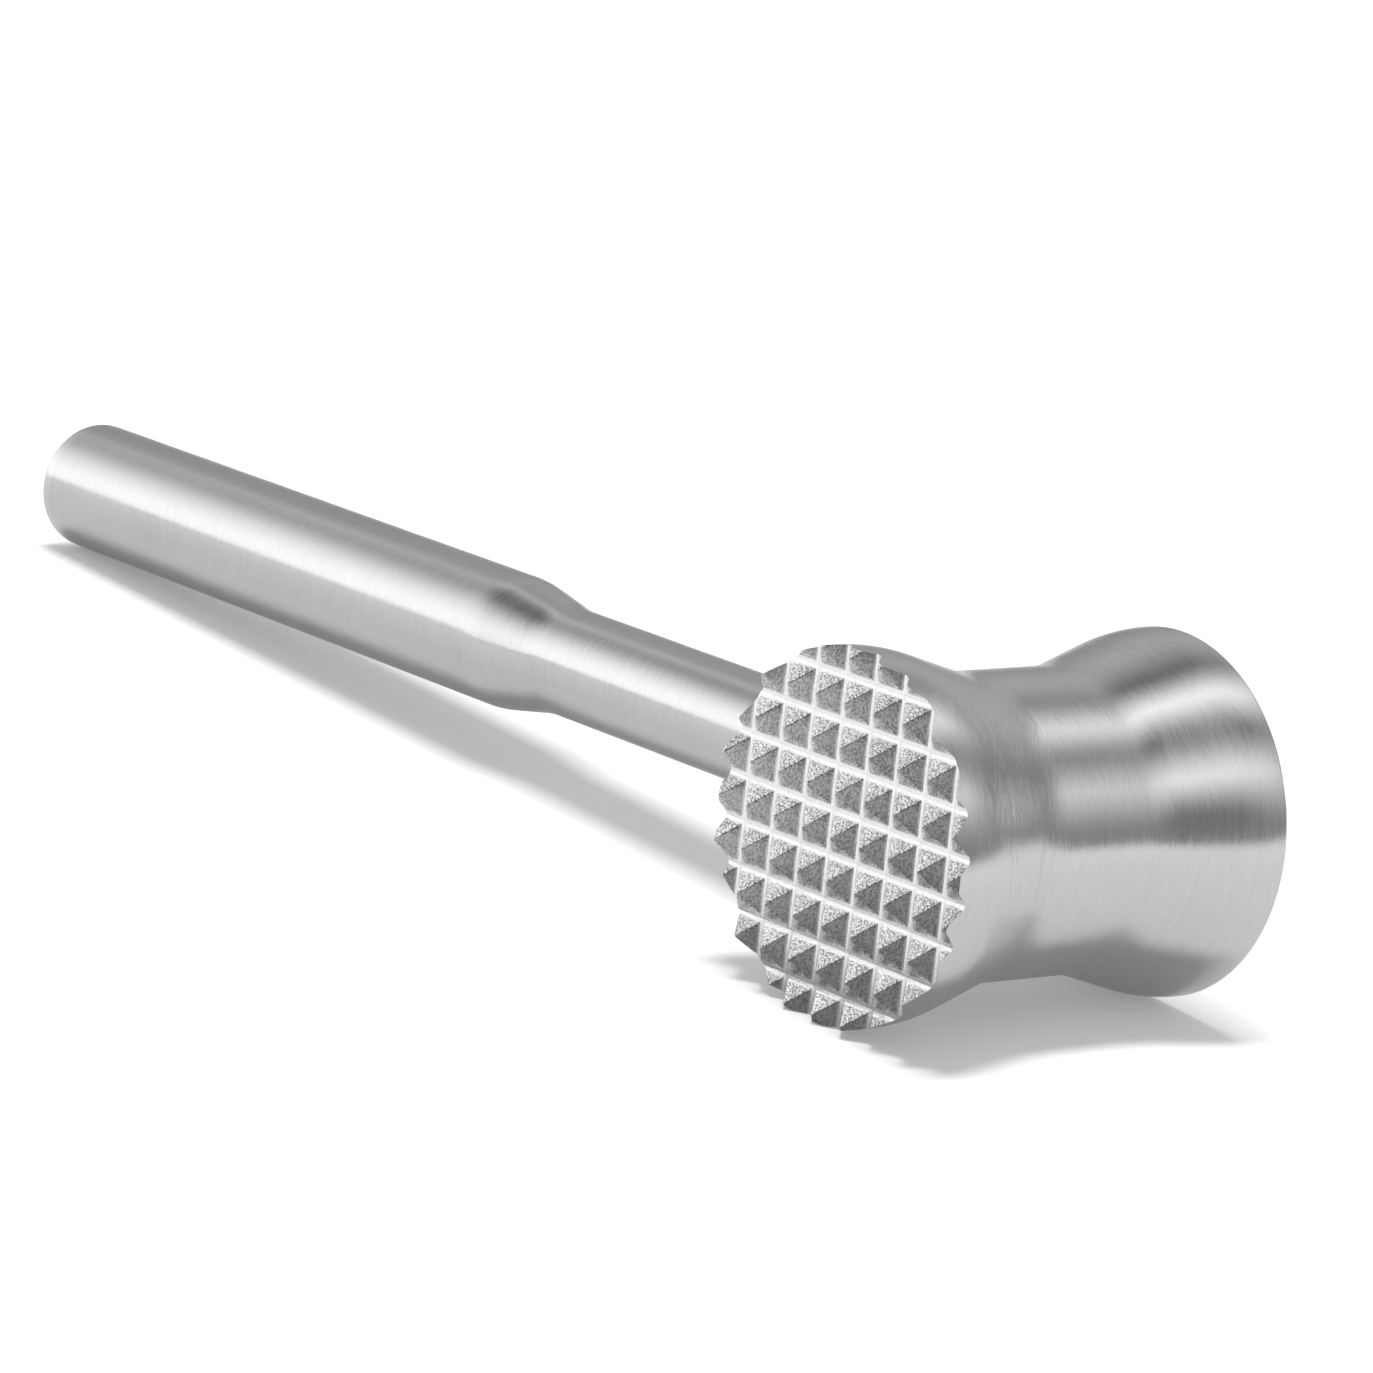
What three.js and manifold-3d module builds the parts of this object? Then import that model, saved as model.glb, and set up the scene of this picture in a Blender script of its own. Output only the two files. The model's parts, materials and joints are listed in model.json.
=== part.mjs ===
// Meat mallet: a waisted steel head on a swaged tube handle, bolted together from inside the head.
// Millimetres, +Z up. The mallet lies at rest on a worktop: two rims and the butt touch the plane
// z = -RIM_RADIUS. The origin is the centre of the flat striking face, +X is that face's outward
// normal, and the handle runs towards +Y, sloping down to its butt.

import * as THREE from 'three';
import { mergeVertices } from 'three/addons/utils/BufferGeometryUtils.js';
import Module from 'manifold-3d';

// Head: a barrel turned about the X axis, with the toothed face at -X and the flat face at +X.
const RIM_RADIUS = 28;
const HEAD_LENGTH = 61.6;
const WAIST_RADIUS = 23.1;
const FLARE_START = 10.6; // from mid-head to where the waist meets the cone
const FLARE_END = 26.4; // from mid-head to where the cone meets the rim
const WAIST_FILLET = 20;
const RIM_FILLET = 27;
const FACE_EDGE = 0.6; // chamfer round the flat striking face

// The head is hollow; a plate closes each end and locates in the bore with a spigot.
const WAIST_BORE = 19.1;
const RIM_BORE = 23.4;
const BORE_FLARE_END = 23.5;
const PLATE_THICKNESS = 5;
const SPIGOT_LENGTH = 3;

// Teeth: square pyramids with 45 degree flanks, in rows along and across the handle.
const TOOTH_PITCH = 6.66;
const GROOVE_WIDTH = 1;
const TOOTH_TIP = 0.3; // width of the small flat on a tooth's point
const TOOTH_ROOT = 0.3; // how far a tooth is sunk into the plate

// Handle: one tube, full size at the grip and drawn down to a thinner neck.
const GRIP_RADIUS = 11.1;
const NECK_RADIUS = 8.8;
const TUBE_WALL = 1.5;
const SHOULDER_START = 110; // from the head's axis
const SHOULDER_END = 123;
const SHOULDER_FILLET = 25;
const HANDLE_LENGTH = 254; // from the head's axis to the end of the butt

// Butt cap: a cup with a flange the size of the grip.
const CAP_FLANGE = 3;
const CAP_SKIRT = 5;
const CAP_WALL = 1.5;
const CAP_EDGE = 1.5;

// Fixing: an M8 socket-head screw pulls a threaded plug in the neck against the head's waist.
const SCREW_RADIUS = 4;
const SCREW_HEAD_RADIUS = 6.5;
const SCREW_HEAD_LENGTH = 8;
const SCREW_SHANK = 30;
const SOCKET_FLATS = 6;
const SOCKET_DEPTH = 4;
const LOCK_WASHER_RADIUS = 7;
const LOCK_WASHER_THICKNESS = 2;
const LOCK_WASHER_SPLIT = 1.2;
const SADDLE_RADIUS = 8.5;
const SADDLE_SEAT = 14.5; // from the head's axis to the saddle washer's flat side
const PLUG_START = 26;
const PLUG_LENGTH = 20;
const SMALL_EDGE = 0.5;

const GAP = 0.3; // clearance between neighbouring pieces
const HEAD_SIDES = 72;
const HANDLE_SIDES = 40;
const SMALL_SIDES = 24;

const wasm = await Module();
wasm.setup();

// ---- outlines and solids ----

// The outline through the corners [radius, along, fillet], with each fillet drawn as an arc.
function outline(corners, arcSteps = 4) {
  const points = [];
  corners.forEach(([radius, along, fillet = 0], i) => {
    const corner = new THREE.Vector2(radius, along);
    if (fillet === 0) {
      points.push(corner);
      return;
    }
    const toLast = new THREE.Vector2(corners[i - 1][0], corners[i - 1][1]).sub(corner).normalize();
    const toNext = new THREE.Vector2(corners[i + 1][0], corners[i + 1][1]).sub(corner).normalize();
    const halfAngle = Math.acos(toLast.dot(toNext)) / 2;
    const inward = toLast.clone().add(toNext).normalize();
    const centre = corner.clone().addScaledVector(inward, fillet / Math.sin(halfAngle));
    const first = corner.clone().addScaledVector(toLast, fillet / Math.tan(halfAngle)).sub(centre);
    const turn = (Math.PI - 2 * halfAngle) * Math.sign(toNext.cross(toLast));
    for (let step = 0; step <= arcSteps; step += 1) {
      const spoke = first.clone().rotateAround(new THREE.Vector2(), (turn * step) / arcSteps);
      points.push(spoke.add(centre));
    }
  });
  return points;
}

// A solid turned about the Y axis.
function turned(corners, sides, arcSteps) {
  return toSolid(new THREE.LatheGeometry(outline(corners, arcSteps), sides));
}

// The same outline turned about the X axis.
function turnedAcross(corners, sides, arcSteps) {
  return toSolid(new THREE.LatheGeometry(outline(corners, arcSteps), sides).rotateZ(-Math.PI / 2));
}

// A solid rod about the Y axis, from one place along it to another.
function rod(radius, from, to, sides = SMALL_SIDES) {
  return turned([[0, from], [radius, from], [radius, to], [0, to]], sides);
}

function toSolid(geometry) {
  const bare = geometry.clone();
  bare.deleteAttribute('normal');
  bare.deleteAttribute('uv');
  const welded = mergeVertices(bare);
  const corners = welded.index.array;
  const triangles = [];
  for (let i = 0; i < corners.length; i += 3) {
    const [a, b, c] = [corners[i], corners[i + 1], corners[i + 2]];
    if (a !== b && b !== c && c !== a) triangles.push(a, b, c);
  }
  return new wasm.Manifold(new wasm.Mesh({
    numProp: 3,
    vertProperties: new Float32Array(welded.getAttribute('position').array),
    triVerts: new Uint32Array(triangles),
  }));
}

function toGeometry(solid) {
  const mesh = solid.getMesh();
  const geometry = new THREE.BufferGeometry();
  geometry.setAttribute('position', new THREE.BufferAttribute(mesh.vertProperties, 3));
  geometry.setIndex(new THREE.BufferAttribute(mesh.triVerts, 1));
  geometry.computeVertexNormals();
  return geometry;
}

// ---- materials ----

const brushedSteel = () => new THREE.MeshStandardMaterial({ color: 0xb9b9b9, roughness: 0.3, metalness: 1 });
const castSteel = () => new THREE.MeshStandardMaterial({ color: 0xa8a8a8, roughness: 0.5, metalness: 1 });
const machinedSteel = () => new THREE.MeshStandardMaterial({ color: 0x9c9c9c, roughness: 0.4, metalness: 1 });
const platedSteel = () => new THREE.MeshStandardMaterial({ color: 0x8c8c8c, roughness: 0.35, metalness: 1 });

// ---- head ----

// The head's outer form as one solid bar, grown by a clearance where another piece is cut to it.
function headForm(clearance = 0) {
  const half = HEAD_LENGTH / 2;
  const rim = RIM_RADIUS + clearance;
  const waist = WAIST_RADIUS + clearance;
  return turnedAcross([
    [0, -half],
    [rim, -half],
    [rim, -FLARE_END, RIM_FILLET],
    [waist, -FLARE_START, WAIST_FILLET],
    [waist, FLARE_START, WAIST_FILLET],
    [rim, FLARE_END, RIM_FILLET],
    [rim, half],
    [0, half],
  ], HEAD_SIDES);
}

// What is taken out of the bar to leave the shell: both ends, and the bore between them.
function headHollow() {
  const beyond = HEAD_LENGTH;
  const shellEnd = HEAD_LENGTH / 2 - PLATE_THICKNESS - GAP;
  return turnedAcross([
    [0, -beyond],
    [beyond, -beyond],
    [beyond, -shellEnd],
    [RIM_BORE, -shellEnd],
    [RIM_BORE, -BORE_FLARE_END],
    [WAIST_BORE, -FLARE_START],
    [WAIST_BORE, FLARE_START],
    [RIM_BORE, BORE_FLARE_END],
    [RIM_BORE, shellEnd],
    [beyond, shellEnd],
    [beyond, beyond],
    [0, beyond],
  ], HEAD_SIDES);
}

function headShell() {
  const screwHole = rod(SCREW_RADIUS + GAP, 0, RIM_RADIUS);
  return headForm().subtract(headHollow()).subtract(screwHole);
}

// An end plate at +X: the last slice of the head's form, with its spigot.
function endPlate() {
  const half = HEAD_LENGTH / 2;
  const back = half - PLATE_THICKNESS;
  const spigotRadius = RIM_BORE - GAP;
  const slice = turnedAcross([
    [0, back],
    [HEAD_LENGTH, back],
    [HEAD_LENGTH, HEAD_LENGTH],
    [0, HEAD_LENGTH],
  ], HEAD_SIDES);
  const spigot = turnedAcross([
    [0, back - SPIGOT_LENGTH],
    [spigotRadius - SMALL_EDGE, back - SPIGOT_LENGTH],
    [spigotRadius, back - SPIGOT_LENGTH + SMALL_EDGE],
    [spigotRadius, half - SMALL_EDGE],
    [0, half - SMALL_EDGE],
  ], HEAD_SIDES);
  return headForm().intersect(slice).add(spigot);
}

function flatFacePlate() {
  const half = HEAD_LENGTH / 2;
  const chamfered = turnedAcross([
    [0, 0],
    [RIM_RADIUS, 0],
    [RIM_RADIUS, half - FACE_EDGE],
    [RIM_RADIUS - FACE_EDGE, half],
    [0, half],
  ], HEAD_SIDES);
  return endPlate().intersect(chamfered);
}

// One tooth standing on the face plane x = -HEAD_LENGTH / 2, its point towards -X.
function tooth(y, z) {
  const height = (TOOTH_PITCH - GROOVE_WIDTH - TOOTH_TIP) / 2;
  const tipRadius = TOOTH_TIP * Math.SQRT1_2;
  const rootRadius = (TOOTH_PITCH - GROOVE_WIDTH + 2 * TOOTH_ROOT) * Math.SQRT1_2;
  const pyramid = new THREE.CylinderGeometry(tipRadius, rootRadius, height + TOOTH_ROOT, 4);
  pyramid.rotateY(Math.PI / 4);
  pyramid.rotateZ(Math.PI / 2);
  pyramid.translate(-HEAD_LENGTH / 2 - (height - TOOTH_ROOT) / 2, y, z);
  return toSolid(pyramid);
}

function toothedFacePlate() {
  const reach = Math.ceil(RIM_RADIUS / TOOTH_PITCH);
  const teeth = [];
  for (let row = -reach; row <= reach; row += 1) {
    for (let column = -reach; column <= reach; column += 1) {
      teeth.push(tooth(column * TOOTH_PITCH, row * TOOTH_PITCH));
    }
  }
  const rim = turnedAcross([
    [0, -HEAD_LENGTH],
    [RIM_RADIUS, -HEAD_LENGTH],
    [RIM_RADIUS, 0],
    [0, 0],
  ], HEAD_SIDES);
  return endPlate().rotate([0, 0, 180]).add(wasm.Manifold.union(teeth).intersect(rim));
}

// ---- handle ----

// The tube's end is coped, so that it sits on the waist all round.
function handleTube() {
  const tubeEnd = HANDLE_LENGTH - CAP_FLANGE - GAP;
  const gripBore = GRIP_RADIUS - TUBE_WALL;
  const neckBore = NECK_RADIUS - TUBE_WALL;
  const tube = turned([
    [neckBore, WAIST_BORE],
    [NECK_RADIUS, WAIST_BORE],
    [NECK_RADIUS, SHOULDER_START, SHOULDER_FILLET],
    [GRIP_RADIUS, SHOULDER_END, SHOULDER_FILLET],
    [GRIP_RADIUS, tubeEnd],
    [gripBore, tubeEnd],
    [gripBore, SHOULDER_END, SHOULDER_FILLET],
    [neckBore, SHOULDER_START, SHOULDER_FILLET],
    [neckBore, WAIST_BORE],
  ], HANDLE_SIDES, 5);
  return tube.subtract(headForm(GAP));
}

function buttCap() {
  const flangeStart = HANDLE_LENGTH - CAP_FLANGE;
  const skirtStart = flangeStart - CAP_SKIRT;
  const skirtRadius = GRIP_RADIUS - TUBE_WALL - GAP;
  return turned([
    [0, flangeStart],
    [skirtRadius - CAP_WALL, flangeStart],
    [skirtRadius - CAP_WALL, skirtStart],
    [skirtRadius, skirtStart],
    [skirtRadius, flangeStart],
    [GRIP_RADIUS, flangeStart],
    [GRIP_RADIUS, HANDLE_LENGTH, CAP_EDGE],
    [0, HANDLE_LENGTH],
  ], HANDLE_SIDES);
}

function neckPlug() {
  const radius = NECK_RADIUS - TUBE_WALL - GAP;
  const end = PLUG_START + PLUG_LENGTH;
  const bore = SCREW_RADIUS + GAP;
  return turned([
    [bore, PLUG_START],
    [radius - SMALL_EDGE, PLUG_START],
    [radius, PLUG_START + SMALL_EDGE],
    [radius, end - SMALL_EDGE],
    [radius - SMALL_EDGE, end],
    [bore, end],
    [bore, PLUG_START],
  ], SMALL_SIDES);
}

// ---- fixing, from the waist's bore towards the head's axis ----

// Round outside and flat on the screw's side, with its other side curved to fit the bore.
function saddleWasher() {
  const boreFit = turnedAcross([
    [0, -FLARE_START],
    [WAIST_BORE - GAP, -FLARE_START],
    [WAIST_BORE - GAP, FLARE_START],
    [0, FLARE_START],
  ], HEAD_SIDES);
  const blank = rod(SADDLE_RADIUS, SADDLE_SEAT, WAIST_BORE);
  return blank.intersect(boreFit).subtract(rod(SCREW_RADIUS + GAP, 0, RIM_RADIUS));
}

// A ring with one slanted split.
function lockWasher() {
  const top = SADDLE_SEAT - GAP;
  const bottom = top - LOCK_WASHER_THICKNESS;
  const ring = rod(LOCK_WASHER_RADIUS, bottom, top).subtract(rod(SCREW_RADIUS + GAP, 0, RIM_RADIUS));
  const split = new THREE.BoxGeometry(LOCK_WASHER_SPLIT, 3 * LOCK_WASHER_THICKNESS, LOCK_WASHER_RADIUS);
  split.rotateZ(Math.PI / 9);
  split.translate(0, (top + bottom) / 2, LOCK_WASHER_RADIUS / 2 + SCREW_RADIUS / 2);
  return ring.subtract(toSolid(split));
}

function headScrew() {
  const underHead = SADDLE_SEAT - 2 * GAP - LOCK_WASHER_THICKNESS;
  const headEnd = underHead - SCREW_HEAD_LENGTH;
  const tip = underHead + SCREW_SHANK;
  const body = turned([
    [0, headEnd],
    [SCREW_HEAD_RADIUS - SMALL_EDGE, headEnd],
    [SCREW_HEAD_RADIUS, headEnd + SMALL_EDGE],
    [SCREW_HEAD_RADIUS, underHead],
    [SCREW_RADIUS, underHead],
    [SCREW_RADIUS, tip - SMALL_EDGE],
    [SCREW_RADIUS - SMALL_EDGE, tip],
    [0, tip],
  ], SMALL_SIDES);
  const socketRadius = SOCKET_FLATS / Math.sqrt(3);
  return body.subtract(rod(socketRadius, headEnd - SOCKET_DEPTH, headEnd + SOCKET_DEPTH, 6));
}

// ---- assembly ----

// The slope at which the butt's rounded edge and the head's rims stand on one plane.
function restingSlope() {
  const along = HANDLE_LENGTH - CAP_EDGE;
  const below = GRIP_RADIUS - CAP_EDGE;
  const drop = Math.asin((RIM_RADIUS - CAP_EDGE) / Math.hypot(along, below));
  return drop - Math.atan2(below, along);
}

function piece(name, solid, material) {
  const mesh = new THREE.Mesh(toGeometry(solid), material);
  mesh.name = name;
  return mesh;
}

const mallet = new THREE.Group();
mallet.add(
  piece('head_shell', headShell(), brushedSteel()),
  piece('toothed_face_plate', toothedFacePlate(), castSteel()),
  piece('flat_face_plate', flatFacePlate(), brushedSteel()),
  piece('handle_tube', handleTube(), brushedSteel()),
  piece('butt_cap', buttCap(), brushedSteel()),
  piece('neck_plug', neckPlug(), machinedSteel()),
  piece('saddle_washer', saddleWasher(), machinedSteel()),
  piece('lock_washer', lockWasher(), platedSteel()),
  piece('head_screw', headScrew(), platedSteel()),
);
mallet.rotation.x = -restingSlope();
mallet.position.x = -HEAD_LENGTH / 2;

const part = new THREE.Group();
part.add(mallet);

export default part;
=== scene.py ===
"""A steel meat mallet lying on a pale table in soft studio light.

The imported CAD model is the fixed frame. The pieces that can be seen are built again here with fine
surfaces, each in the place of its CAD node. The fixings inside keep their CAD shape.
Lengths named *_MM are millimetres; everything in Blender is in metres.
"""

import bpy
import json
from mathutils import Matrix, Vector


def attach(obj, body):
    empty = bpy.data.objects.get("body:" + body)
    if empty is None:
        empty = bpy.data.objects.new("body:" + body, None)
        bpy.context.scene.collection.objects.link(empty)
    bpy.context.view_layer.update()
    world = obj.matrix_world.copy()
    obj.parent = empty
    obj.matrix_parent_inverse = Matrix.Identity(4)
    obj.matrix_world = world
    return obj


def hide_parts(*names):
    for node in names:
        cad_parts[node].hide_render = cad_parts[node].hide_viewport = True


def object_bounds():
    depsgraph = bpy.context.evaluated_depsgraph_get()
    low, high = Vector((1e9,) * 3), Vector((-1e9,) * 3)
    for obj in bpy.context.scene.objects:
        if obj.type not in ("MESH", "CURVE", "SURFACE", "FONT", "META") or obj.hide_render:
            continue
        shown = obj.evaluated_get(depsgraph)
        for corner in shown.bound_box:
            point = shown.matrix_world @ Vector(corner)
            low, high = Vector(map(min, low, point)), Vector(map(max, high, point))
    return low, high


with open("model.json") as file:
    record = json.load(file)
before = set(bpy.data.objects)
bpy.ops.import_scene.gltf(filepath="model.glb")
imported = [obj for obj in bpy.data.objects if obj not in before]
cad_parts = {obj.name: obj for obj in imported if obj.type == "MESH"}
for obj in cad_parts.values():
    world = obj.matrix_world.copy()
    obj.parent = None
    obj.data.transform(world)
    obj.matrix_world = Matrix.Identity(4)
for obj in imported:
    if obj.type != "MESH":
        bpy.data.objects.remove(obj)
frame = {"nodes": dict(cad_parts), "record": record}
cad_box = [list(corner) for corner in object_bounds()]

import json
import math
import random

import bmesh
import bpy
from mathutils import Matrix, Quaternion, Vector

MM = 0.001

# ---- sizes: the CAD model's, and those of the fine detail ----

WAIST_RADIUS_MM = 23.1
FLARE_START_MM = 10.6  # from mid-head
FLARE_END_MM = 26.4
WAIST_FILLET_MM = 20
RIM_FILLET_MM = 27
WAIST_BORE_MM = 19.1
RIM_BORE_MM = 23.4
BORE_FLARE_END_MM = 23.5
PLATE_MM = 5
SPIGOT_MM = 3
FACE_EDGE_MM = 0.6
FACE_FILLET_MM = FACE_EDGE_MM * 0.9

PITCH_MM = 6.66
GROOVE_MM = 1  # width of a groove's floor
TIP_MM = 0.3  # width of the flat on a tooth's point
TOOTH_EDGE_MM = 0.22  # bevel on a tooth's edges
GROOVE_VEE_MM = 0.1  # how far a groove's floor falls to its middle
TOOTH_WANDER_MM = 0.05  # how unevenly the teeth were cast

GRIP_RADIUS_MM = 11.1
NECK_RADIUS_MM = 8.8
WALL_MM = 1.5
SHOULDER_START_MM = 110
SHOULDER_END_MM = 123
SHOULDER_FILLET_MM = 25
NECK_CLEAR_MM = 4  # from the rim radius to the neck's first ring that isn't coped
CAP_FLANGE_MM = 3
CAP_SKIRT_MM = 5
CAP_WALL_MM = 1.5
CAP_EDGE_MM = 1.5

SEAM_MM = 0.003  # a ground joint between two pieces
COPE_SEAM_MM = 0.12  # the neck's fit on the waist
SEAM_EDGE_MM = 0.003  # bevel on each side of a seam
HEAD_SIDES = 256
HANDLE_SIDES = 160
HEAD_ARC_STEPS = 28
FACE_ARC_STEPS = 6
SHOULDER_ARC_STEPS = 20
BORE_ARC_STEPS = 8
CAP_ARC_STEPS = 12
SHARP = math.radians(35)  # an edge that turns more than this is shaded sharp
TOOTH_SHARP = math.radians(20)
RIM_BAND_MM = 1  # an end plate's rim is its outermost faces, so far in from the rim radius
RIM_SLOPE = 0.5  # and only those that face outwards: this bounds how far they face along the head

# ---- places, from the frame ----

mounts = {mount["name"]: mount for mount in frame["record"]["mounts"]}
butt = Vector(mounts["butt_face"]["pos_m"])
handle_axis = Vector(mounts["butt_face"]["axis"]).normalized()
head_axis = Vector(mounts["flat_face"]["axis"]).normalized()
head_centre = Vector((butt.x, 0, 0))
HALF_HEAD_MM = -butt.x / MM
RIM_RADIUS_MM = round(-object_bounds()[0].z / MM, 1)
HANDLE_LENGTH_MM = (butt - head_centre).length / MM
up_axis = head_axis.cross(handle_axis)
# The mallet's own axes: x along the head towards the flat face, y along the handle, z up.
mallet = Matrix.Translation(head_centre) @ Matrix((head_axis, handle_axis, up_axis)).transposed().to_4x4()

rng = random.Random(11)  # for how unevenly the teeth were cast


# ---- mesh helpers ----

def outline(corners, steps):
    """Points through corners (radius, along, fillet radius), with each fillet as an arc."""
    points = []
    for i, (radius, along, *rest) in enumerate(corners):
        corner = Vector((radius, along))
        fillet = rest[0] if rest else 0
        if not fillet:
            points.append(corner)
            continue
        to_last = (Vector(corners[i - 1][:2]) - corner).normalized()
        to_next = (Vector(corners[i + 1][:2]) - corner).normalized()
        half_angle = to_last.angle(to_next) / 2
        inward = (to_last + to_next).normalized()
        centre = corner + inward * fillet / math.sin(half_angle)
        spoke = corner + to_last * fillet / math.tan(half_angle) - centre
        side = 1 if to_last.x * to_next.y - to_last.y * to_next.x < 0 else -1
        turn = (math.pi - 2 * half_angle) * side
        for step in range(steps + 1):
            angle = turn * step / steps
            c, s = math.cos(angle), math.sin(angle)
            points.append(centre + Vector((spoke.x * c - spoke.y * s, spoke.x * s + spoke.y * c)))
    return points


def to_object(name, points, faces, place=mallet):
    """A new mesh object whose points are millimetres in the mallet's own axes, or in place."""
    mesh = bpy.data.meshes.new(name)
    mesh.from_pydata([place @ (Vector(p) * MM) for p in points], [], faces)
    tidy = bmesh.new()
    tidy.from_mesh(mesh)
    bmesh.ops.remove_doubles(tidy, verts=tidy.verts, dist=1e-7)
    bmesh.ops.recalc_face_normals(tidy, faces=tidy.faces)
    tidy.to_mesh(mesh)
    tidy.free()
    obj = bpy.data.objects.new(name, mesh)
    bpy.context.scene.collection.objects.link(obj)
    return obj


def ring_faces(rings, sides, closed):
    """Quads between successive rings of points; closed joins the last ring to the first."""
    faces = []
    for ring in range(rings if closed else rings - 1):
        near, far = ring * sides, (ring + 1) % rings * sides
        for side in range(sides):
            after = (side + 1) % sides
            faces.append((near + side, near + after, far + after, far + side))
    return faces


def turned(name, profile, axis, sides):
    """A profile of (radius, along) points turned about the head's "x" or the handle's "y" axis."""
    closed = profile[0].x > 0
    points = []
    for radius, along in profile:
        for side in range(sides):
            angle = 2 * math.pi * side / sides
            across, up = radius * math.cos(angle), radius * math.sin(angle)
            points.append((along, across, up) if axis == "x" else (across, along, up))
    return to_object(name, points, ring_faces(len(profile), sides, closed))


def smooth(obj, angle):
    obj.data.shade_smooth()
    obj.data.set_sharp_from_angle(angle=angle)


def boolean(obj, other, operation):
    """Cuts or joins obj with other, which is then removed."""
    modifier = obj.modifiers.new(operation, "BOOLEAN")
    modifier.object = other
    modifier.operation = operation
    modifier.solver = "MANIFOLD"
    apply_modifiers(obj)
    bpy.data.objects.remove(other)


def apply_modifiers(obj):
    bpy.context.view_layer.update()
    evaluated = obj.evaluated_get(bpy.context.evaluated_depsgraph_get())
    mesh = bpy.data.meshes.new_from_object(evaluated)
    obj.modifiers.clear()
    obj.data = mesh


def finish_piece(obj, node, material, sharp=SHARP, rim=None):
    """Gives a piece and its rim their finishes, and lets the piece stand for its CAD node."""
    smooth(obj, sharp)
    obj.data.materials.clear()
    obj.data.materials.append(material)
    if rim:
        finish_rim(obj, rim)
    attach(obj, "root")
    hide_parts(node)


# ---- head ----

def head_corners(first, last):
    """The head's outer outline between two places along it, ends on those places."""
    shape = [
        (RIM_RADIUS_MM, -HALF_HEAD_MM),
        (RIM_RADIUS_MM, -FLARE_END_MM, RIM_FILLET_MM),
        (WAIST_RADIUS_MM, -FLARE_START_MM, WAIST_FILLET_MM),
        (WAIST_RADIUS_MM, FLARE_START_MM, WAIST_FILLET_MM),
        (RIM_RADIUS_MM, FLARE_END_MM, RIM_FILLET_MM),
        (RIM_RADIUS_MM, HALF_HEAD_MM),
    ]
    points = outline(shape, HEAD_ARC_STEPS)
    inside = [p for p in points if first < p.y < last]
    return [head_point(points, first)] + inside + [head_point(points, last)]


def head_point(points, along):
    """The point at one place along an outline."""
    for a, b in zip(points, points[1:]):
        if a.y <= along <= b.y and b.y > a.y:
            return a.lerp(b, (along - a.y) / (b.y - a.y))
    return Vector(points[0 if along < 0 else -1])


def head_radius(along):
    return head_point(HEAD_OUTLINE, along).x


HEAD_OUTLINE = head_corners(-HALF_HEAD_MM, HALF_HEAD_MM)


def head_shell():
    """The barrel between the end plates. Unlike the CAD piece it has no hole for the screw."""
    end = HALF_HEAD_MM - PLATE_MM - SEAM_MM
    outer = head_corners(-end, end)
    bore = [
        (RIM_BORE_MM, end),
        (RIM_BORE_MM, BORE_FLARE_END_MM),
        (WAIST_BORE_MM, FLARE_START_MM),
        (WAIST_BORE_MM, -FLARE_START_MM),
        (RIM_BORE_MM, -BORE_FLARE_END_MM),
        (RIM_BORE_MM, -end),
    ]
    eased = Vector((SEAM_EDGE_MM, 0))
    step = Vector((0, SEAM_EDGE_MM))
    outer = [outer[0] - eased, outer[0] + step] + outer[1:-1] + [outer[-1] - step, outer[-1] - eased]
    return turned("head_shell_fine", outer + [Vector(p) for p in bore], "x", HEAD_SIDES)


def flat_face_plate():
    back = HALF_HEAD_MM - PLATE_MM
    # Both spigots are as wide as the bore, so their ends cut a little into its flare.
    spigot = RIM_BORE_MM - SEAM_MM
    side = head_corners(back, HALF_HEAD_MM - FACE_EDGE_MM)
    face = outline([
        tuple(side[-1]),
        (RIM_RADIUS_MM, HALF_HEAD_MM, FACE_FILLET_MM),
        (0, HALF_HEAD_MM),
    ], FACE_ARC_STEPS)[1:]
    profile = [Vector(p) for p in ((0, back - SPIGOT_MM), (spigot, back - SPIGOT_MM), (spigot, back))]
    profile += [side[0] - Vector((SEAM_EDGE_MM, 0)), side[0] + Vector((0, SEAM_EDGE_MM))]
    profile += side[1:] + face
    return turned("flat_face_plate_fine", profile, "x", HEAD_SIDES)


def tooth_cell(y, z):
    """Border, base and tip corners of one tooth and its share of the grooves, as (y, z, height)."""
    half_pitch = PITCH_MM / 2
    base = half_pitch - GROOVE_MM / 2
    tip = TIP_MM / 2
    height = base - tip
    lean_y, lean_z = (rng.uniform(-TOOTH_WANDER_MM, TOOTH_WANDER_MM) for _ in range(2))
    height -= rng.uniform(0, TOOTH_WANDER_MM)
    around = ((-1, -1), (1, -1), (1, 1), (-1, 1))
    border = [(y + a * half_pitch, z + b * half_pitch, -GROOVE_VEE_MM) for a, b in around]
    feet = [(y + a * base, z + b * base, 0) for a, b in around]
    top = [(y + a * tip + lean_y, z + b * tip + lean_z, height) for a, b in around]
    return border + feet + top


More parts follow.
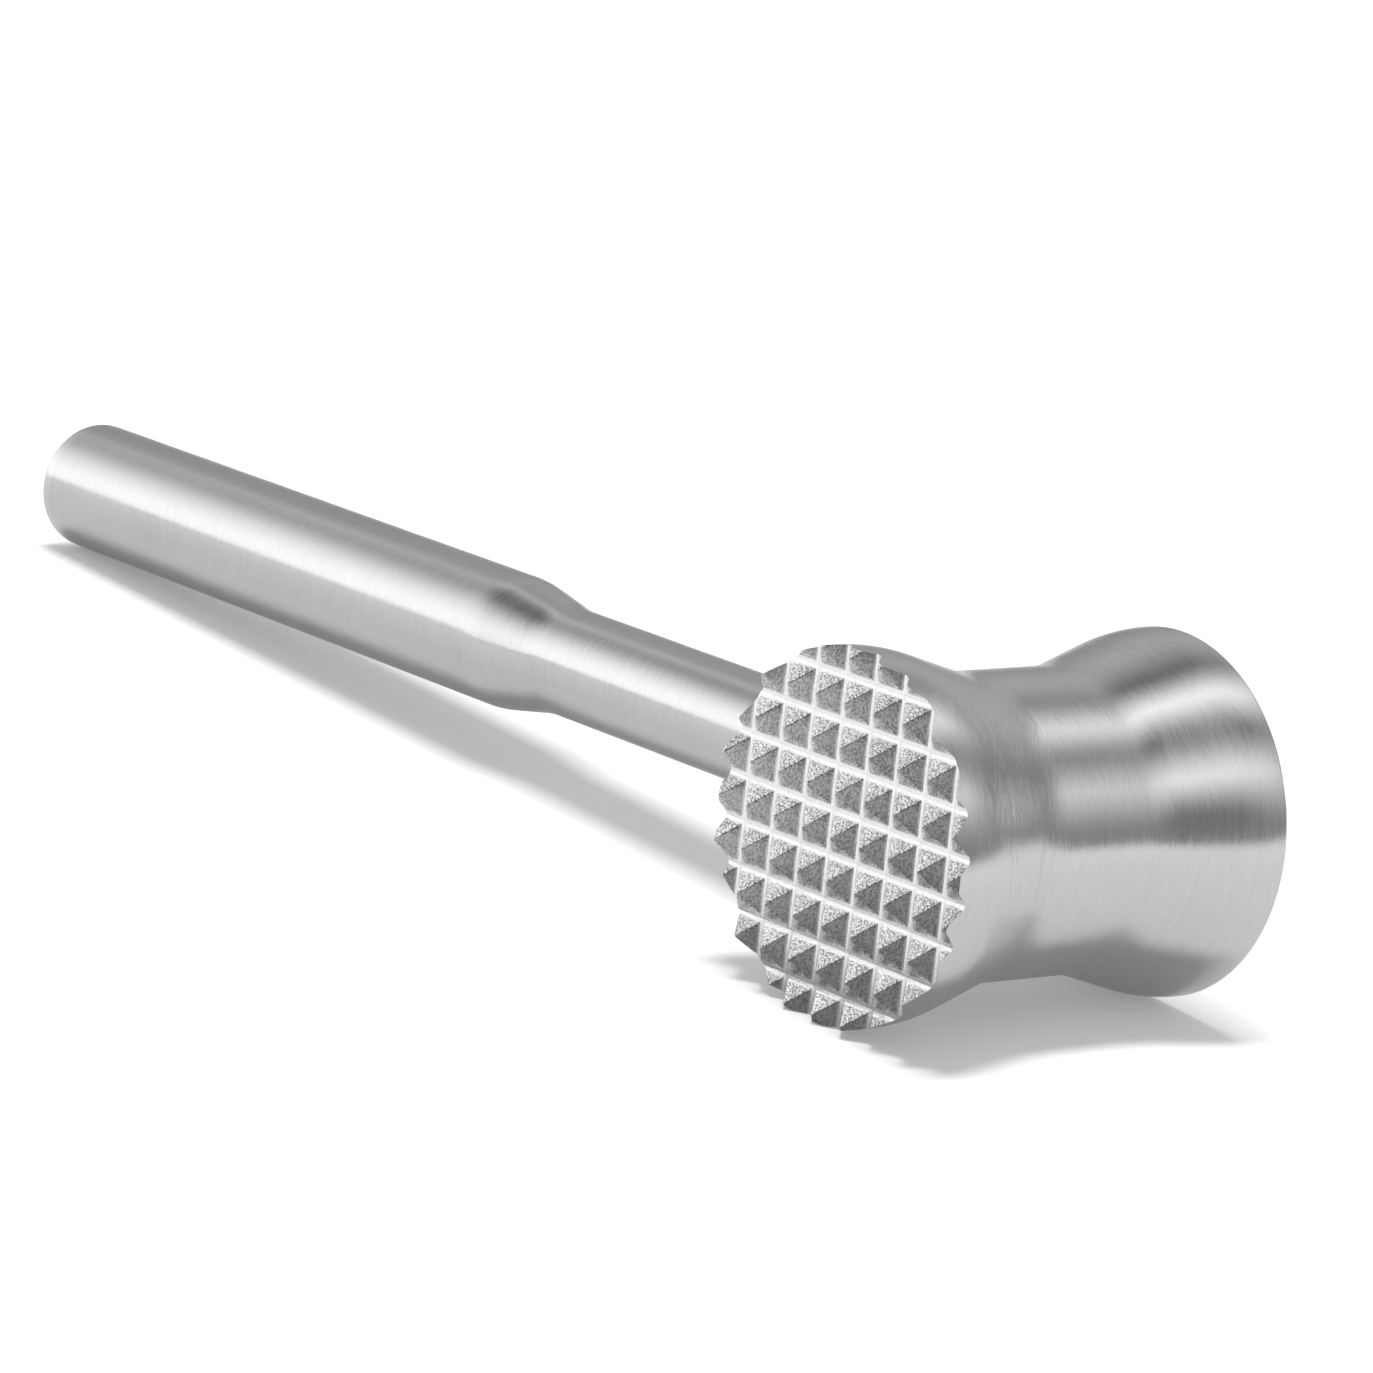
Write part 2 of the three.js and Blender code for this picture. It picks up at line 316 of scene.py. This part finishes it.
def toothed_slab():
    """A square slab of teeth, standing towards -x from the face plane, wider than the head."""
    reach = math.ceil(RIM_RADIUS_MM / PITCH_MM)
    slab = bmesh.new()
    for row in range(-reach, reach + 1):
        for column in range(-reach, reach + 1):
            cell = tooth_cell(column * PITCH_MM, row * PITCH_MM)
            verts = [slab.verts.new((-HALF_HEAD_MM - h, y, z)) for y, z, h in cell]
            for i in range(4):
                j = (i + 1) % 4
                slab.faces.new((verts[i], verts[j], verts[4 + j], verts[4 + i]))
                slab.faces.new((verts[4 + i], verts[4 + j], verts[8 + j], verts[8 + i]))
            slab.faces.new(verts[8:])
    bmesh.ops.remove_doubles(slab, verts=slab.verts, dist=1e-4)
    steep = [e for e in slab.edges if len(e.link_faces) == 2 and e.calc_face_angle() > SHARP]
    bmesh.ops.bevel(slab, geom=steep, offset=TOOTH_EDGE_MM, segments=2, profile=0.5, affect="EDGES")
    rim = [e for e in slab.edges if e.is_boundary]
    back = bmesh.ops.extrude_edge_only(slab, edges=rim)["geom"]
    for vert in back:
        if isinstance(vert, bmesh.types.BMVert):
            vert.co.x = PLATE_MM - HALF_HEAD_MM
    bmesh.ops.holes_fill(slab, edges=[e for e in slab.edges if e.is_boundary], sides=0)
    slab.verts.index_update()
    points = [tuple(v.co) for v in slab.verts]
    faces = [[v.index for v in f.verts] for f in slab.faces]
    slab.free()
    return to_object("toothed_face_plate_fine", points, faces)


def toothed_face_plate():
    back = PLATE_MM - HALF_HEAD_MM
    beyond = -HALF_HEAD_MM - PITCH_MM
    spigot = RIM_BORE_MM - SEAM_MM
    side = head_corners(-HALF_HEAD_MM, back)
    profile = [Vector((0, beyond)), Vector((RIM_RADIUS_MM, beyond))] + side[:-1]
    profile += [side[-1] - Vector((0, SEAM_EDGE_MM)), side[-1] - Vector((SEAM_EDGE_MM, 0))]
    profile.append(Vector((0, back)))
    plate = toothed_slab()
    boolean(plate, turned("rim_cut", profile, "x", HEAD_SIDES), "INTERSECT")
    first, last = back - SPIGOT_MM, back + SPIGOT_MM
    rod = [Vector(p) for p in ((0, first), (spigot, first), (spigot, last), (0, last))]
    boolean(plate, turned("spigot", rod, "x", HEAD_SIDES), "UNION")
    return plate


def finish_rim(plate, material):
    """Gives an end plate's rim the barrel's material: they are ground together."""
    plate.data.materials.append(material)
    to_mallet = mallet.inverted()
    for face in plate.data.polygons:
        centre = to_mallet @ face.center / MM
        slope = abs(face.normal.dot(head_axis))
        if math.hypot(centre.y, centre.z) > RIM_RADIUS_MM - RIM_BAND_MM and slope < RIM_SLOPE:
            face.material_index = len(plate.data.materials) - 1


# ---- handle ----

def handle_tube():
    """The tube, with its first rings coped to stand on the head's waist."""
    first = RIM_RADIUS_MM + NECK_CLEAR_MM
    end = HANDLE_LENGTH_MM - CAP_FLANGE_MM - SEAM_MM
    grip_bore, neck_bore = GRIP_RADIUS_MM - WALL_MM, NECK_RADIUS_MM - WALL_MM
    outer = outline([
        (NECK_RADIUS_MM, first),
        (NECK_RADIUS_MM, SHOULDER_START_MM, SHOULDER_FILLET_MM),
        (GRIP_RADIUS_MM, SHOULDER_END_MM, SHOULDER_FILLET_MM),
        (GRIP_RADIUS_MM, end - SEAM_EDGE_MM),
        (GRIP_RADIUS_MM - SEAM_EDGE_MM, end),
    ], SHOULDER_ARC_STEPS)
    inner = outline([
        (grip_bore, end),
        (grip_bore, SHOULDER_END_MM, SHOULDER_FILLET_MM),
        (neck_bore, SHOULDER_START_MM, SHOULDER_FILLET_MM),
        (neck_bore, first),
    ], BORE_ARC_STEPS)
    # Radius, and height over the waist.
    coped = [(neck_bore, 0), (NECK_RADIUS_MM - SEAM_EDGE_MM, 0), (NECK_RADIUS_MM, SEAM_EDGE_MM)]
    profile = coped + [tuple(p) for p in outer + inner]
    points = []
    for ring, (radius, along) in enumerate(profile):
        for side in range(HANDLE_SIDES):
            angle = 2 * math.pi * side / HANDLE_SIDES
            x, z = radius * math.cos(angle), radius * math.sin(angle)
            seat = math.sqrt(head_radius(x) ** 2 - z * z) + COPE_SEAM_MM
            points.append((x, seat + along if ring < len(coped) else along, z))
    return to_object("handle_tube_fine", points, ring_faces(len(profile), HANDLE_SIDES, True))


def butt_cap():
    flange = HANDLE_LENGTH_MM - CAP_FLANGE_MM
    skirt = GRIP_RADIUS_MM - WALL_MM - SEAM_MM
    profile = outline([
        (0, flange),
        (skirt - CAP_WALL_MM, flange),
        (skirt - CAP_WALL_MM, flange - CAP_SKIRT_MM),
        (skirt, flange - CAP_SKIRT_MM),
        (skirt, flange),
        (GRIP_RADIUS_MM - SEAM_EDGE_MM, flange),
        (GRIP_RADIUS_MM, flange + SEAM_EDGE_MM),
        (GRIP_RADIUS_MM, HANDLE_LENGTH_MM, CAP_EDGE_MM),
        (0, HANDLE_LENGTH_MM),
    ], CAP_ARC_STEPS)
    return turned("butt_cap_fine", profile, "y", HANDLE_SIDES)


# ---- materials ----

# Brushed steel. Noise cells per metre, along the axis and round it, and along a scratch and across it.
FINE_STREAKS = (3600, 420)
COARSE_STREAKS = (1300, 200)
SCRATCHES = (160, 5200)
SCRATCH_TILT = 0.6  # from the brushing direction (radians)
SCRATCH_RELIEF = 0.6  # next to the streaks' own
SCRATCHED_FLARE = 0.016  # from mid-head towards the teeth (m)
SCRATCHES_FADE = (0.011, 0.006)  # none so far from there, and all of them this near (m)
BRUSHED_TONE = 0.62
STREAK_TONE = 0.04
CLOUD_TONE = 0.015
BRUSHED_ROUGHNESS = (0.16, 0.25)
CLOUD_ROUGHNESS = 0.03
BRUSHED_RELIEF = 0.00004  # m
ANISOTROPY = 0.84

# Cast steel. The first three are for the smooth flanks and for the rough ones; the smooth flanks' darker
# crown tone is painted shade.
HOLLOW_TONE = (0.38, 0.36)
CROWN_TONE_WITH_PAINTED_SHADE = (0.62, 0.88)
FLANK_BUMP = (0.55, 1.0)
CAST_CLOUD_TONE = 0.04
FLOOR_TONE = (0.9, 1.0)
FLOOR_BUMP = 0.35
VEE_PAINTED_SHADE = 0.1  # how much darker the middle of a groove is painted: painted shade in its crease
CAST_ROUGHNESS = (0.28, 0.36)
CAST_RELIEF = 0.00007  # m


class Nodes:
    """A material's node tree, with short ways to add and join nodes."""

    def __init__(self, tree):
        self.tree = tree

    def add(self, kind, inputs=None, **settings):
        node = self.tree.nodes.new(kind)
        for name, value in settings.items():
            setattr(node, name, value)
        for key, value in (inputs or {}).items():
            self.put(node.inputs[key], value)
        return node

    def put(self, socket, value):
        if isinstance(value, bpy.types.NodeSocket):
            self.tree.links.new(value, socket)
        else:
            socket.default_value = value

    def math(self, operation, a, b=0.0):
        return self.add("ShaderNodeMath", {0: a, 1: b}, operation=operation).outputs[0]

    def vector(self, operation, a, b=(0, 0, 0)):
        return self.add("ShaderNodeVectorMath", {0: a, 1: b}, operation=operation).outputs[0]

    def dot(self, a, b):
        return self.add("ShaderNodeVectorMath", {0: a, 1: b}, operation="DOT_PRODUCT").outputs["Value"]

    def spread(self, value, low, high, to_low=0.0, to_high=1.0, smooth_step=False):
        kind = "SMOOTHSTEP" if smooth_step else "LINEAR"
        node = self.add("ShaderNodeMapRange", {0: value, 1: low, 2: high, 3: to_low, 4: to_high},
                        interpolation_type=kind)
        return node.outputs[0]

    def vary(self, noise, low, high):
        """From low to high over the range where most of a noise's values lie."""
        return self.spread(noise, 0.3, 0.7, low, high)

    def noise(self, vector, scale, detail=2.0, w=None, roughness=0.5):
        inputs = {"Vector": vector, "Scale": scale, "Detail": detail, "Roughness": roughness}
        if w is None:
            return self.add("ShaderNodeTexNoise", inputs).outputs[0]
        inputs["W"] = w
        return self.add("ShaderNodeTexNoise", inputs, noise_dimensions="4D").outputs[0]

    def in_mallet(self):
        """The shading point in the mallet's axes, its three parts, and it from mid-head in world axes."""
        place = self.add("ShaderNodeTexCoord").outputs["Object"]
        from_head = self.vector("SUBTRACT", place, tuple(head_centre))
        parts = [self.dot(from_head, tuple(axis)) for axis in (head_axis, handle_axis, up_axis)]
        return self.add("ShaderNodeCombineXYZ", dict(enumerate(parts))).outputs[0], parts, from_head

    def mix(self, factor, a, b):
        """From a to b by a factor from 0 to 1."""
        change = self.math("SUBTRACT", b, a)
        return self.math("ADD", a, self.math("MULTIPLY", change, factor))

    def grey(self, value):
        return self.add("ShaderNodeCombineColor", {0: value, 1: value, 2: value}).outputs[0]


def new_material(name):
    material = bpy.data.materials.new(name)
    material.use_nodes = True
    nodes = Nodes(material.node_tree)
    shader = next(n for n in material.node_tree.nodes if n.type == "BSDF_PRINCIPLED")
    shader.inputs["Metallic"].default_value = 1.0
    return material, nodes, shader


def brushed_steel(name, axis, seed, tone=BRUSHED_TONE, wear=1.0):
    """Steel brushed round one axis: streaks run round it, and rings on a face square to it."""
    material, nodes, shader = new_material(name)
    place, (x, y, z), from_head = nodes.in_mallet()
    along, across = (x, y) if axis == "x" else (y, x)
    square = nodes.math("ADD", nodes.math("MULTIPLY", across, across), nodes.math("MULTIPLY", z, z))
    radius = nodes.math("SQRT", square)
    world_axis = head_axis if axis == "x" else handle_axis
    round_about = nodes.vector("CROSS_PRODUCT", tuple(world_axis), from_head)

    def streaks(per_metre, round_per_metre, offset):
        """Noise drawn out round the axis, finer along it."""
        stretched = nodes.add("ShaderNodeCombineXYZ", {
            0: nodes.math("MULTIPLY", along, per_metre),
            1: nodes.math("MULTIPLY", across, round_per_metre),
            2: nodes.math("MULTIPLY", z, round_per_metre),
        }).outputs[0]
        shifted = nodes.vector("ADD", stretched, (seed + offset, 0, 0))
        return nodes.noise(shifted, 1.0, w=nodes.math("MULTIPLY", radius, per_metre))

    fine = streaks(*FINE_STREAKS, 0)
    coarse = streaks(*COARSE_STREAKS, 5)
    cloud = nodes.noise(nodes.vector("ADD", place, (seed, 0, 0)), 55, 3)
    # Stray hand-polishing scratches, aslant to the brushing: on the head they lie on the flare beside
    # the teeth, and on the handle in cloudy patches.
    tilt = {"Vector": place, "Axis": (0, 0, 1), "Angle": SCRATCH_TILT}
    tilted = nodes.add("ShaderNodeVectorRotate", tilt, rotation_type="AXIS_ANGLE").outputs[0]
    lengthwise, crosswise = SCRATCHES
    if axis == "x":
        cells = (crosswise, lengthwise, lengthwise)
        off_flare = nodes.math("ABSOLUTE", nodes.math("ADD", along, SCRATCHED_FLARE))
        patch = nodes.spread(off_flare, *SCRATCHES_FADE)
    else:
        cells = (lengthwise, crosswise, lengthwise)
        patch = nodes.spread(cloud, 0.45, 0.65)
    scratch = nodes.spread(nodes.noise(nodes.vector("MULTIPLY", tilted, cells), 1.0, 1), 0.62, 0.75)
    scratch = nodes.math("MULTIPLY", scratch, patch)

    grain = nodes.math("ADD", nodes.math("MULTIPLY", fine, 0.6), nodes.math("MULTIPLY", coarse, 0.4))
    tint = nodes.vary(grain, tone - STREAK_TONE, tone + STREAK_TONE)
    tint = nodes.math("ADD", tint, nodes.vary(cloud, -CLOUD_TONE, CLOUD_TONE))
    rough = nodes.vary(grain, *BRUSHED_ROUGHNESS)
    rough = nodes.math("ADD", rough, nodes.vary(cloud, -CLOUD_ROUGHNESS, CLOUD_ROUGHNESS))
    height = nodes.math("ADD", grain, nodes.math("MULTIPLY", scratch, SCRATCH_RELIEF * wear))
    bump = nodes.add("ShaderNodeBump", {"Strength": 1.0, "Distance": BRUSHED_RELIEF, "Height": height})
    tangent = nodes.add("ShaderNodeVectorTransform", {0: round_about},
                        vector_type="VECTOR", convert_from="OBJECT", convert_to="WORLD").outputs[0]
    nodes.put(shader.inputs["Base Color"], nodes.grey(tint))
    nodes.put(shader.inputs["Roughness"], rough)
    nodes.put(shader.inputs["Tangent"], tangent)
    shader.inputs["Anisotropic"].default_value = ANISOTROPY
    # A quarter turn, so that highlights spread square to the brushing.
    shader.inputs["Anisotropic Rotation"].default_value = 0.25
    nodes.put(shader.inputs["Normal"], bump.outputs[0])
    return material


def cast_steel(name):
    """Raw investment-cast steel: a fine pebbled grain, darker in the hollows."""
    material, nodes, shader = new_material(name)
    coordinates = nodes.add("ShaderNodeTexCoord").outputs
    place = coordinates["Object"]
    along = nodes.in_mallet()[1][0]
    # Raised parts are pebbled; the floors of the grooves are smoother and brighter.
    raised = nodes.spread(along, -(HALF_HEAD_MM + 0.05) * MM, -(HALF_HEAD_MM + 0.3) * MM)
    # The flanks that face away from the handle are smoother, and are painted darker: painted shade.
    rough_flank_vs_painted_shade = nodes.spread(nodes.dot(coordinates["Normal"], tuple(handle_axis)), -0.6, -0.3)
    pebbles = nodes.noise(place, 2900, 1, roughness=0.4)
    pits = nodes.add("ShaderNodeTexVoronoi", {"Vector": place, "Scale": 2500}).outputs["Distance"]
    cloud = nodes.noise(place, 260, 3)
    # Painted shade: the smooth flanks, facing away from the handle, get a darker crown tone.
    hollow = nodes.mix(rough_flank_vs_painted_shade, *HOLLOW_TONE)
    crown_with_painted_shade = nodes.mix(rough_flank_vs_painted_shade, *CROWN_TONE_WITH_PAINTED_SHADE)
    tint = nodes.spread(pebbles, 0.4, 0.58, hollow, crown_with_painted_shade)
    tint = nodes.math("ADD", tint, nodes.vary(cloud, -CAST_CLOUD_TONE, CAST_CLOUD_TONE))
    # Painted shade: the middle of each groove's floor is painted darker.
    vee_edge = -(HALF_HEAD_MM - GROOVE_VEE_MM * 0.6) * MM
    vee_middle = -(HALF_HEAD_MM - GROOVE_VEE_MM) * MM
    shade = nodes.math("MULTIPLY", nodes.spread(along, vee_edge, vee_middle), VEE_PAINTED_SHADE)
    floor_tint = nodes.math("SUBTRACT", nodes.spread(pebbles, 0.35, 0.65, *FLOOR_TONE), shade)
    tint = nodes.mix(raised, floor_tint, tint)
    rough = nodes.vary(pebbles, *CAST_ROUGHNESS)
    height = nodes.math("ADD", pebbles, nodes.math("MULTIPLY", pits, 0.5))
    strength = nodes.mix(raised, FLOOR_BUMP, nodes.mix(rough_flank_vs_painted_shade, *FLANK_BUMP))
    bump = nodes.add("ShaderNodeBump", {"Strength": strength, "Distance": CAST_RELIEF, "Height": height})
    nodes.put(shader.inputs["Base Color"], nodes.grey(tint))
    nodes.put(shader.inputs["Roughness"], rough)
    nodes.put(shader.inputs["Normal"], bump.outputs[0])
    return material


def dull_steel(name, tone, roughness):
    """Machined or plated steel of the parts inside."""
    material, nodes, shader = new_material(name)
    place = nodes.add("ShaderNodeTexCoord").outputs["Object"]
    marks = nodes.noise(nodes.vector("MULTIPLY", place, (900, 4000, 900)), 1.0, 2)
    cloud = nodes.noise(place, 150, 3)
    nodes.put(shader.inputs["Base Color"], nodes.grey(nodes.vary(marks, tone - 0.05, tone + 0.05)))
    nodes.put(shader.inputs["Roughness"], nodes.vary(cloud, roughness - 0.06, roughness + 0.08))
    bump = nodes.add("ShaderNodeBump", {"Strength": 0.6, "Distance": 0.00001, "Height": marks})
    nodes.put(shader.inputs["Normal"], bump.outputs[0])
    return material


# ---- studio ----

CAMERA_AZIMUTH = -39.09  # degrees; 0 looks along +Y
CAMERA_ELEVATION = 14.83
CAMERA_ROLL = 8.24
CAMERA_DISTANCE = 0.9434  # m, from the aim
CAMERA_LENS = 167.05  # mm, on a sensor 36 mm wide
CAMERA_AIM = Vector((-0.0673, 0.0340, 0.0129))

# The bar that shows the lamp's highlight, how far that lies above the bar's near side (degrees), then
# the panel's shift along the bar, half length, half height, soft edges (along, across) and strength.
SOFT_BOXES = [
    (head_axis, 35, -0.8, 1.0, 0.15, (0.4, 0.3), 1.6),  # the barrel's upper highlight
    (head_axis, 10, -0.8, 1.0, 0.2, (0.4, 0.3), 1.0),  # the barrel's lower highlight
    (head_axis, 20, -1.3, 0.6, 0.5, (0.5, 0.4), 0.8),  # a broad glow, mostly seen in the flat end's flare
    (head_axis, 50, 1.2, 0.2, 0.15, (0.2, 0.15), 4.0),  # the patch beside the teeth
    (handle_axis, 0, 0, 0.8, 0.5, (0.4, 0.5), 1.4),  # the broad band on the handle
    (handle_axis, 42, 0, 0.5, 0.1, (0.3, 0.1), 0.3),  # the thin line on top of the handle
    (head_axis, 60, 0, 0.8, 0.3, (0.5, 0.3), 0.3),  # a faint glow high on the barrel
]
LEAST_DEPTH = 0.05  # a ray with a smaller cosine than this to a panel's middle misses the panel
ROOM = (0.35, 0.15)  # at the horizon and overhead
DARK_SIDE = (-125, 5)  # azimuth and elevation of its middle (degrees)
DARK_SIDE_FADE = (0.2, 0.9)  # cosines of the angle from its middle, where it begins and is darkest
DARK_SIDE_LEVEL = 0.4
BACKDROP = 1.05
FILL_LIGHT = 0.42
KEY_LIGHT = 2.05  # shared by a row of lamps nearly overhead
KEY_WIDTH = 0.2  # of each lamp (radians)
KEY_LEANS = [(0.04, -0.03), (-0.1, -0.03), (-0.24, -0.03)]  # x and y of each lamp, for one unit up
TABLE_HALF = 6.0  # m
TABLE_GLOW = 0.2  # light scattered back under the mallet
# How bright the table is in the metal, next to what the camera sees: beside the mallet, and far off. Its
# dimming beside the mallet is painted shade.
TABLE_IN_METAL = (0.71, 0.86)
TABLE_FAR = 0.25  # m
TABLE_DIMS = (0.35, 1.2)  # where it begins to dim again, and where it is dimmest (m); this dimming is painted shade
TABLE_DIMMEST = 0.6
# Dark patches painted on the table, painted shade that only the metal mirrors: level, then for each side a
# point on it (mm), the azimuth of its inward side, and how soft it is (mm).
PAINTED_DARK_PATCHES = [
    (0.25, [(-73, 20, 145, 12), (-73, -120, -56, 25), (-73, 0, -90, 3)]),
    (0.25, [(-62, 0, -90, 1), (-84, 0, 90, 15), (0, 60, 180, 25)]),
]


def direction(azimuth, elevation):
    """Unit vector; azimuth is from +Y towards +X, in degrees."""
    a, e = math.radians(azimuth), math.radians(elevation)
    return Vector((math.sin(a) * math.cos(e), math.cos(a) * math.cos(e), math.sin(e)))


def to_camera():
    """Unit vector from the aim to the camera."""
    a, e = math.radians(CAMERA_AZIMUTH), math.radians(CAMERA_ELEVATION)
    return Vector((math.sin(a) * math.cos(e), -math.cos(a) * math.cos(e), math.sin(e)))


def mirrored(axis, rise):
    """The direction that a bar along axis mirrors to the camera, rise degrees above its near side."""
    along = to_camera().dot(axis) * axis
    near = to_camera() - along
    turn = math.copysign(math.radians(2 * rise), axis.cross(near).z)
    near.rotate(Quaternion(axis, turn))
    return (near - along).normalized()


def soft_box(nodes, ray, axis, rise, shift, half_length, half_height, edges, strength):
    """A soft panel along a bar, one unit away, whose highlight on the bar lies at rise.

    shift moves the panel along the bar; it shows where the bar flares.
    """
    ahead = mirrored(axis, rise)
    right = (axis - axis.dot(ahead) * ahead).normalized()
    above = right.cross(ahead)
    depth = nodes.dot(ray, ahead)
    lit = nodes.math("MULTIPLY", nodes.math("GREATER_THAN", depth, LEAST_DEPTH), strength)
    spans = ((right, shift, half_length, edges[0]), (above, 0, half_height, edges[1]))
    for side, middle, half, edge in spans:
        from_middle = nodes.math("SUBTRACT", nodes.math("DIVIDE", nodes.dot(ray, side), depth), middle)
        offset = nodes.math("ABSOLUTE", from_middle)
        lit = nodes.math("MULTIPLY", lit, nodes.spread(offset, half + edge, half - edge, smooth_step=True))
    return lit


def studio_world():
    """White to the eye; to the metal, a dim room with soft boxes round it."""
    world = bpy.data.worlds.new("studio")
    world.use_nodes = True
    bpy.context.scene.world = world
    nodes = Nodes(world.node_tree)
    ray = nodes.add("ShaderNodeTexCoord").outputs["Generated"]
    height = nodes.add("ShaderNodeSeparateXYZ", {0: ray}).outputs[2]
    towards_dark = nodes.dot(ray, direction(*DARK_SIDE))
    dark_side = nodes.spread(towards_dark, *DARK_SIDE_FADE, 1.0, DARK_SIDE_LEVEL, smooth_step=True)
    light = nodes.math("MULTIPLY", nodes.spread(height, 0, 1, *ROOM), dark_side)
    for box in SOFT_BOXES:
        light = nodes.math("ADD", light, soft_box(nodes, ray, *box))
    path = nodes.add("ShaderNodeLightPath")
    reflected = nodes.add("ShaderNodeBackground", {0: nodes.grey(light)})
    plain = nodes.add("ShaderNodeBackground", {0: (1, 1, 1, 1), 1: BACKDROP})
    fill = nodes.add("ShaderNodeBackground", {0: (1, 1, 1, 1), 1: FILL_LIGHT})
    seen = nodes.add("ShaderNodeMixShader", {0: path.outputs["Is Glossy Ray"], 1: fill.outputs[0],
                                             2: reflected.outputs[0]})
    final = nodes.add("ShaderNodeMixShader", {0: path.outputs["Is Camera Ray"], 1: seen.outputs[0],
                                              2: plain.outputs[0]})
    output = next(n for n in world.node_tree.nodes if n.type == "OUTPUT_WORLD")
    nodes.put(output.inputs["Surface"], final.outputs[0])


def table_in_metal(nodes, place):
    """How bright the table is where the metal mirrors it: painted shade makes it dimmer near the mallet
    and under the painted dark patches.
    """
    low, high = Vector(cad_box[0]).xy, Vector(cad_box[1]).xy
    middle, half = ((low + high) / 2).to_3d(), ((high - low) / 2).to_3d()
    flat = nodes.vector("MULTIPLY", place, (1, 1, 0))
    outside = nodes.vector("ABSOLUTE", nodes.vector("SUBTRACT", flat, middle))
    outside = nodes.vector("MAXIMUM", nodes.vector("SUBTRACT", outside, half), (0, 0, 0))
    distance = nodes.add("ShaderNodeVectorMath", {0: outside}, operation="LENGTH").outputs["Value"]
    away = nodes.math("SQRT", distance)
    level = nodes.spread(away, 0, math.sqrt(TABLE_FAR), *TABLE_IN_METAL)
    begins, ends = (math.sqrt(metres) for metres in TABLE_DIMS)
    level = nodes.math("MULTIPLY", level, nodes.spread(away, begins, ends, 1.0, TABLE_DIMMEST))
    # Each patch paints shade onto the table where the metal mirrors it.
    for painted_shade_level, sides in PAINTED_DARK_PATCHES:
        cover = 1.0
        for x, y, inward, softness in sides:
            side = direction(inward, 0)
            depth = nodes.dot(nodes.vector("SUBTRACT", place, (x * MM, y * MM, 0)), side)
            edge = nodes.spread(depth, -softness * MM, softness * MM, smooth_step=True)
            cover = nodes.math("MULTIPLY", cover, edge)
        level = nodes.mix(cover, level, painted_shade_level)
    return level


def table(height):
    corners = ((-1, -1), (1, -1), (1, 1), (-1, 1))
    points = [(x * TABLE_HALF, y * TABLE_HALF, height) for x, y in corners]
    floor = to_object("table", [Vector(p) / MM for p in points], [(0, 1, 2, 3)], Matrix.Identity(4))
    material, nodes, shader = new_material("table_white")
    place = nodes.add("ShaderNodeTexCoord").outputs["Object"]
    mottle = nodes.vary(nodes.noise(place, 12, 2), 0.93, 0.95)
    path = nodes.add("ShaderNodeLightPath")
    level = nodes.mix(path.outputs["Is Glossy Ray"], 1.0, table_in_metal(nodes, place))
    tint = nodes.math("MULTIPLY", mottle, level)
    shader.inputs["Metallic"].default_value = 0
    shader.inputs["Roughness"].default_value = 1.0
    shader.inputs["Specular IOR Level"].default_value = 0.0
    nodes.put(shader.inputs["Base Color"], nodes.grey(tint))
    nodes.put(shader.inputs["Emission Color"], nodes.grey(tint))
    shader.inputs["Emission Strength"].default_value = TABLE_GLOW
    floor.data.materials.append(material)


def key_lights():
    for i, lean in enumerate(KEY_LEANS):
        data = bpy.data.lights.new(f"key_{i}", "SUN")
        data.angle = KEY_WIDTH
        data.energy = KEY_LIGHT / len(KEY_LEANS)
        lamp = bpy.data.objects.new(f"key_{i}", data)
        bpy.context.scene.collection.objects.link(lamp)
        lamp.rotation_mode = "QUATERNION"
        lamp.rotation_quaternion = Vector((*lean, 1)).to_track_quat("Z", "Y")
        lamp.visible_glossy = False


# ---- camera ----

def camera():
    data = bpy.data.cameras.new("camera")
    data.sensor_width = 36
    data.lens = CAMERA_LENS
    obj = bpy.data.objects.new("camera", data)
    bpy.context.scene.collection.objects.link(obj)
    back = to_camera()
    turn = back.to_track_quat("Z", "Y").to_matrix() @ Matrix.Rotation(math.radians(CAMERA_ROLL), 3, "Z")
    obj.matrix_world = Matrix.Translation(CAMERA_AIM + back * CAMERA_DISTANCE) @ turn.to_4x4()
    data.clip_start = 0.05
    data.clip_end = 50
    bpy.context.scene.camera = obj


# ---- build ----

body_steel = brushed_steel("brushed_body", "x", 1.0)
face_steel = brushed_steel("brushed_face", "x", 7.0)
handle_steel = brushed_steel("brushed_handle", "y", 3.0, tone=0.58, wear=0.2)
cap_steel = brushed_steel("brushed_cap", "y", 9.0)
tooth_steel = cast_steel("cast_teeth")

finish_piece(head_shell(), "head_shell", body_steel)
finish_piece(flat_face_plate(), "flat_face_plate", face_steel, rim=body_steel)
finish_piece(toothed_face_plate(), "toothed_face_plate", tooth_steel, TOOTH_SHARP, body_steel)
finish_piece(handle_tube(), "handle_tube", handle_steel)
finish_piece(butt_cap(), "butt_cap", cap_steel)

inside = {
    "machined_insert": dull_steel("machined_insert", 0.5, 0.35),
    "plated_fixing": dull_steel("plated_fixing", 0.42, 0.3),
}
for subpart in frame["record"]["subparts"]:
    material = inside.get(subpart["material_slot"])
    if material:
        node = frame["nodes"][subpart["node"]]
        node.data.materials.clear()
        node.data.materials.append(material)

table(-RIM_RADIUS_MM * MM)
key_lights()
studio_world()
camera()
bpy.context.scene.view_settings.view_transform = "Standard"
